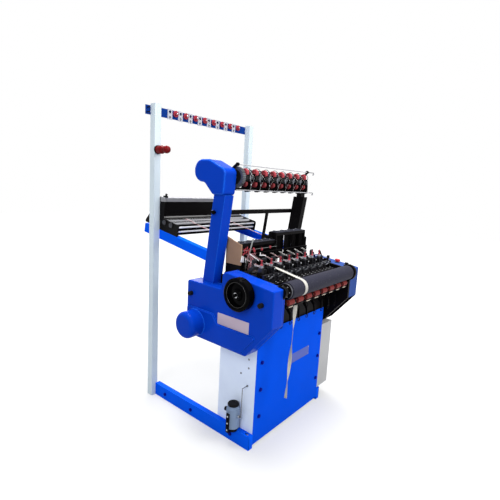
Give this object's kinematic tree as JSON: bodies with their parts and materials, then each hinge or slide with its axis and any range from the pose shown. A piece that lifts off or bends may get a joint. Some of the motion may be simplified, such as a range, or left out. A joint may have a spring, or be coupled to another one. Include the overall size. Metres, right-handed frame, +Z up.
{
  "type": "needle loom",
  "caption": "Floor-standing narrow-fabric needle loom with weaving heads, feeder wheels, heald frames, take-up roller, creel posts and a blue sheet cabinet.",
  "frame": {"origin": "on the floor under the middle of the machine's footprint", "axes": "+Z up, front (tape side) toward -Y, handwheel toward -X"},
  "size_m": [1.172, 1.3034, 2.1],
  "materials": {
    "blue_paint": "satin",
    "dark_blue_paint": "satin",
    "white_paint": "satin",
    "cream_paint": "satin",
    "grey_paint": "satin",
    "black_paint": "satin",
    "black_plastic": "moulded",
    "dark_iron": "machined",
    "steel": "ground",
    "heald_metal": "anodised",
    "roller_chrome": "polished",
    "dark_rubber": "ground",
    "red_rubber": "ground",
    "red_plastic": "moulded",
    "laminate": "sawn",
    "tape": "woven"
  },
  "bodies": {
    "frame": {"base_beam_left": "blue_paint", "base_beam_right": "blue_paint", "front_panel": "blue_paint", "creel_bar": "blue_paint", "left_frame_plate": "blue_paint", "left_cover": "blue_paint", "right_cover": "blue_paint", "left_column": "blue_paint", "swan_neck": "blue_paint", "rear_rails": "blue_paint", "panel_bolts": "dark_blue_paint", "cabinet_body": "white_paint", "left_post": "white_paint", "right_post": "white_paint", "electrical_box": "cream_paint", "oil_pump": "grey_paint", "drive_motor": "grey_paint", "right_frame_plate": "black_paint", "right_column": "black_paint", "tie_bar": "black_paint", "feeder_beam": "black_paint", "stop_motion_frame": "black_paint", "cover_knobs": "black_plastic", "bed": "dark_iron", "oil_pipe": "steel", "head_blocks": "steel", "drive_belt": "dark_rubber", "signal_lamp": "red_plastic", "creel_tensioners": "red_plastic", "harness_guides": "laminate", "woven_tape": "tape"},
    "main_drive": {"handwheel": "black_paint", "main_shaft": "steel"},
    "motor_rotor": {"motor_pulley": "steel"},
    "take_up": {"take_up_roller": "dark_rubber", "take_up_shaft": "steel"},
    "feeder": {"feeder_shaft": "steel", "feeder_wheels": "red_plastic"},
    "press_bar": {"press_levers": "black_paint"},
    "press_roll": {"press_rollers": "red_rubber"},
    "weft_arm_1": {"weft_needle_1": "steel"},
    "weft_arm_2": {"weft_needle_2": "steel"},
    "weft_arm_3": {"weft_needle_3": "steel"},
    "weft_arm_4": {"weft_needle_4": "steel"},
    "weft_arm_5": {"weft_needle_5": "steel"},
    "weft_arm_6": {"weft_needle_6": "steel"},
    "weft_arm_7": {"weft_needle_7": "steel"},
    "weft_arm_8": {"weft_needle_8": "steel"},
    "latch_bar": {"latch_needle_bar": "steel"},
    "batten": {"reed_batten": "steel"},
    "heald_left_1_body": {"heald_left_1": "heald_metal"},
    "heald_left_2_body": {"heald_left_2": "heald_metal"},
    "heald_right_1_body": {"heald_right_1": "heald_metal"},
    "heald_right_2_body": {"heald_right_2": "heald_metal"},
    "guide_idler_1": {"guide_roller_1": "roller_chrome"},
    "guide_idler_2": {"guide_roller_2": "roller_chrome"},
    "box_door": {"electrical_door": "cream_paint"},
    "oil_plunger": {"oil_handle": "black_plastic"},
    "stop_knob": {"stop_button": "red_plastic"},
    "start_knob": {"start_button": "black_plastic"}
  },
  "joints": [
    {"name": "main_drive", "type": "hinge", "parent": "frame", "child": "main_drive", "pos_m": [0.021, -0.40073, 0.998], "axis": [1, 0, 0], "continuous": true},
    {"name": "motor_spin", "type": "hinge", "parent": "frame", "child": "motor_rotor", "pos_m": [-0.369, -0.02573, 0.728], "axis": [1, 0, 0], "continuous": true},
    {"name": "take_up_spin", "type": "hinge", "parent": "frame", "child": "take_up", "pos_m": [0.031, -0.59573, 1.028], "axis": [1, 0, 0], "continuous": true},
    {"name": "feeder_spin", "type": "hinge", "parent": "frame", "child": "feeder", "pos_m": [0.081, -0.17573, 1.64], "axis": [1, 0, 0], "continuous": true},
    {"name": "press_swing", "type": "hinge", "parent": "frame", "child": "press_bar", "pos_m": [0.031, -0.47573, 0.905], "axis": [1, 0, 0], "range_deg": [0, 12], "stiffness_Nm_per_rad": 20, "springref_deg": -28.65},
    {"name": "press_spin", "type": "hinge", "parent": "press_bar", "child": "press_roll", "pos_m": [0.031, -0.59817, 0.95818], "axis": [1, 0, 0], "continuous": true},
    {"name": "needle_swing_1", "type": "hinge", "parent": "frame", "child": "weft_arm_1", "pos_m": [-0.333, -0.40873, 1.1], "axis": [0, 0, 1], "range_deg": [-110, 0]},
    {"name": "needle_swing_2", "type": "hinge", "parent": "frame", "child": "weft_arm_2", "pos_m": [-0.238, -0.40873, 1.1], "axis": [0, 0, 1], "range_deg": [-110, 0]},
    {"name": "needle_swing_3", "type": "hinge", "parent": "frame", "child": "weft_arm_3", "pos_m": [-0.143, -0.40873, 1.1], "axis": [0, 0, 1], "range_deg": [-110, 0]},
    {"name": "needle_swing_4", "type": "hinge", "parent": "frame", "child": "weft_arm_4", "pos_m": [-0.048, -0.40873, 1.1], "axis": [0, 0, 1], "range_deg": [-110, 0]},
    {"name": "needle_swing_5", "type": "hinge", "parent": "frame", "child": "weft_arm_5", "pos_m": [0.047, -0.40873, 1.1], "axis": [0, 0, 1], "range_deg": [-110, 0]},
    {"name": "needle_swing_6", "type": "hinge", "parent": "frame", "child": "weft_arm_6", "pos_m": [0.142, -0.40873, 1.1], "axis": [0, 0, 1], "range_deg": [-110, 0]},
    {"name": "needle_swing_7", "type": "hinge", "parent": "frame", "child": "weft_arm_7", "pos_m": [0.237, -0.40873, 1.1], "axis": [0, 0, 1], "range_deg": [-110, 0]},
    {"name": "needle_swing_8", "type": "hinge", "parent": "frame", "child": "weft_arm_8", "pos_m": [0.332, -0.40873, 1.1], "axis": [0, 0, 1], "range_deg": [-110, 0]},
    {"name": "latch_slide", "type": "slide", "parent": "frame", "child": "latch_bar", "axis": [0, 1, 0], "range_m": [0, 0.014]},
    {"name": "batten_swing", "type": "hinge", "parent": "frame", "child": "batten", "pos_m": [0.031, -0.29673, 1.066], "axis": [1, 0, 0], "range_deg": [-4, 10]},
    {"name": "heald_left_1_lift", "type": "slide", "parent": "frame", "child": "heald_left_1_body", "axis": [0, 0, 1], "range_m": [0, 0.048]},
    {"name": "heald_left_2_lift", "type": "slide", "parent": "frame", "child": "heald_left_2_body", "axis": [0, 0, 1], "range_m": [0, 0.048]},
    {"name": "heald_right_1_lift", "type": "slide", "parent": "frame", "child": "heald_right_1_body", "axis": [0, 0, 1], "range_m": [-0.048, 0]},
    {"name": "heald_right_2_lift", "type": "slide", "parent": "frame", "child": "heald_right_2_body", "axis": [0, 0, 1], "range_m": [-0.048, 0]},
    {"name": "guide_spin_1", "type": "hinge", "parent": "frame", "child": "guide_idler_1", "pos_m": [0.071, 0.34445, 1.29741], "axis": [1, 0, 0], "continuous": true},
    {"name": "guide_spin_2", "type": "hinge", "parent": "frame", "child": "guide_idler_2", "pos_m": [0.071, 0.41544, 1.30942], "axis": [1, 0, 0], "continuous": true},
    {"name": "door_hinge", "type": "hinge", "parent": "frame", "child": "box_door", "pos_m": [0.565, -0.19573, 0.348], "axis": [0, 0, 1], "range_deg": [0, 110]},
    {"name": "oil_pull", "type": "slide", "parent": "frame", "child": "oil_plunger", "axis": [0, 1, 0], "range_m": [0, 0.02], "stiffness_N_per_m": 150, "springref_m": -0.005},
    {"name": "stop_press", "type": "slide", "parent": "frame", "child": "stop_knob", "axis": [0, -0.1182, 0.993], "range_m": [-0.005, 0], "stiffness_N_per_m": 600, "springref_m": 0.003},
    {"name": "start_press", "type": "slide", "parent": "frame", "child": "start_knob", "axis": [0, -0.1182, 0.993], "range_m": [-0.005, 0], "stiffness_N_per_m": 600, "springref_m": 0.003}
  ],
  "couplings": [
    {"joint": "motor_spin", "follows": "main_drive", "ratio": 1.5556},
    {"joint": "take_up_spin", "follows": "main_drive", "ratio": 0.016667},
    {"joint": "feeder_spin", "follows": "main_drive", "ratio": 0.5},
    {"joint": "press_spin", "follows": "main_drive", "ratio": -0.045045},
    {"joint": "needle_swing_2", "follows": "needle_swing_1", "ratio": 1},
    {"joint": "needle_swing_3", "follows": "needle_swing_1", "ratio": 1},
    {"joint": "needle_swing_4", "follows": "needle_swing_1", "ratio": 1},
    {"joint": "needle_swing_5", "follows": "needle_swing_1", "ratio": 1},
    {"joint": "needle_swing_6", "follows": "needle_swing_1", "ratio": 1},
    {"joint": "needle_swing_7", "follows": "needle_swing_1", "ratio": 1},
    {"joint": "needle_swing_8", "follows": "needle_swing_1", "ratio": 1}
  ]
}
